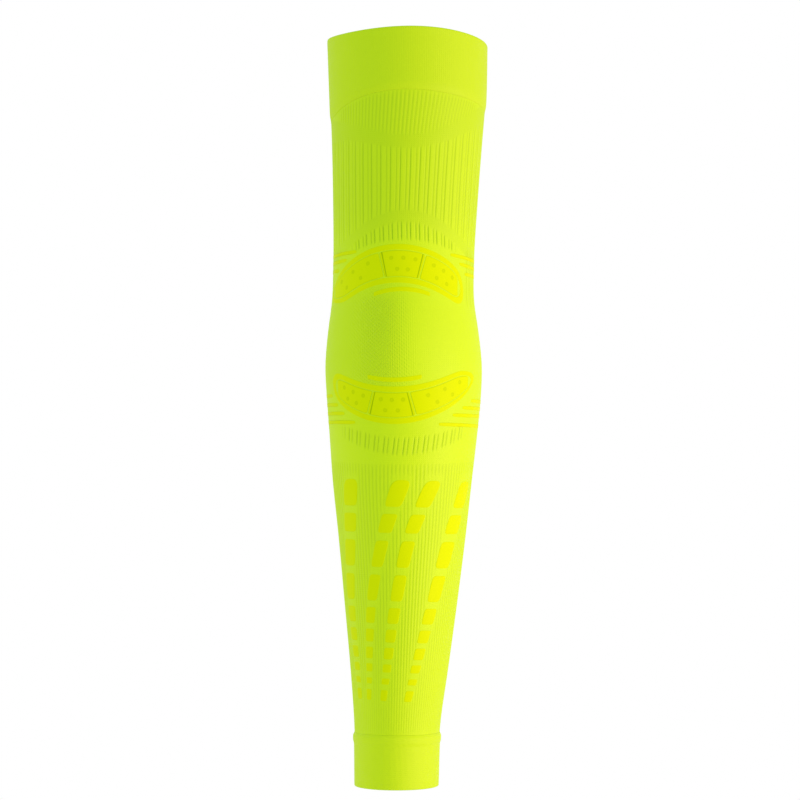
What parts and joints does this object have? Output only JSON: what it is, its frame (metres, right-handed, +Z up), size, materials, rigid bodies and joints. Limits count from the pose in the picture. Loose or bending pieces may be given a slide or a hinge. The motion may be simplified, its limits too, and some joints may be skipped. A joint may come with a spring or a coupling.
{
  "type": "arm compression sleeve",
  "caption": "Seamless knitted arm compression sleeve with a wide upper cuff, ribbed zones, arched elbow bands, film blocks along the forearm and a rolled wrist cuff",
  "frame": {"origin": "middle of the upper arm mouth, where the upper arm holds the sleeve", "axes": "+Z up the arm towards the shoulder, -Y out of the elbow-point side, +X to the right seen from that side"},
  "size_m": [0.0874, 0.1054, 0.4042],
  "materials": {
    "tube_knit": "matte rib knit",
    "cuff_knit": "smooth matte double knit",
    "yellow_film": "smooth satin elastic film"
  },
  "bodies": {
    "root": {"upper_cuff": "cuff_knit", "arm_tube": "tube_knit", "wrist_cuff": "cuff_knit", "upper_elbow_rim": "yellow_film", "upper_elbow_panel_1": "yellow_film", "upper_elbow_panel_2": "yellow_film", "upper_elbow_panel_3": "yellow_film", "upper_elbow_stripe": "yellow_film", "lower_elbow_rim": "yellow_film", "lower_elbow_panel_1": "yellow_film", "lower_elbow_panel_2": "yellow_film", "lower_elbow_panel_3": "yellow_film", "lower_elbow_stripe": "yellow_film", "upper_strap_1": "yellow_film", "upper_strap_2": "yellow_film", "upper_strap_3": "yellow_film", "lower_strap_1": "yellow_film", "lower_strap_2": "yellow_film", "lower_strap_3": "yellow_film", "lower_strap_4": "yellow_film", "forearm_block_1_1": "yellow_film", "forearm_block_1_2": "yellow_film", "forearm_block_1_3": "yellow_film", "forearm_block_1_4": "yellow_film", "forearm_block_1_5": "yellow_film", "forearm_block_1_6": "yellow_film", "forearm_block_1_7": "yellow_film", "forearm_block_1_8": "yellow_film", "forearm_block_1_9": "yellow_film", "forearm_block_1_10": "yellow_film", "forearm_block_2_1": "yellow_film", "forearm_block_2_2": "yellow_film", "forearm_block_2_3": "yellow_film", "forearm_block_2_4": "yellow_film", "forearm_block_2_5": "yellow_film", "forearm_block_2_6": "yellow_film", "forearm_block_2_7": "yellow_film", "forearm_block_2_8": "yellow_film", "forearm_block_2_9": "yellow_film", "forearm_block_2_10": "yellow_film", "forearm_block_3_1": "yellow_film", "forearm_block_3_2": "yellow_film", "forearm_block_3_3": "yellow_film", "forearm_block_3_4": "yellow_film", "forearm_block_3_5": "yellow_film", "forearm_block_3_6": "yellow_film", "forearm_block_3_7": "yellow_film", "forearm_block_3_8": "yellow_film", "forearm_block_3_9": "yellow_film", "forearm_block_3_10": "yellow_film", "forearm_block_4_1": "yellow_film", "forearm_block_4_2": "yellow_film", "forearm_block_4_3": "yellow_film", "forearm_block_4_4": "yellow_film", "forearm_block_4_5": "yellow_film", "forearm_block_4_6": "yellow_film", "forearm_block_4_7": "yellow_film", "forearm_block_4_8": "yellow_film", "forearm_block_4_9": "yellow_film", "forearm_block_4_10": "yellow_film"}
  },
  "joints": []
}
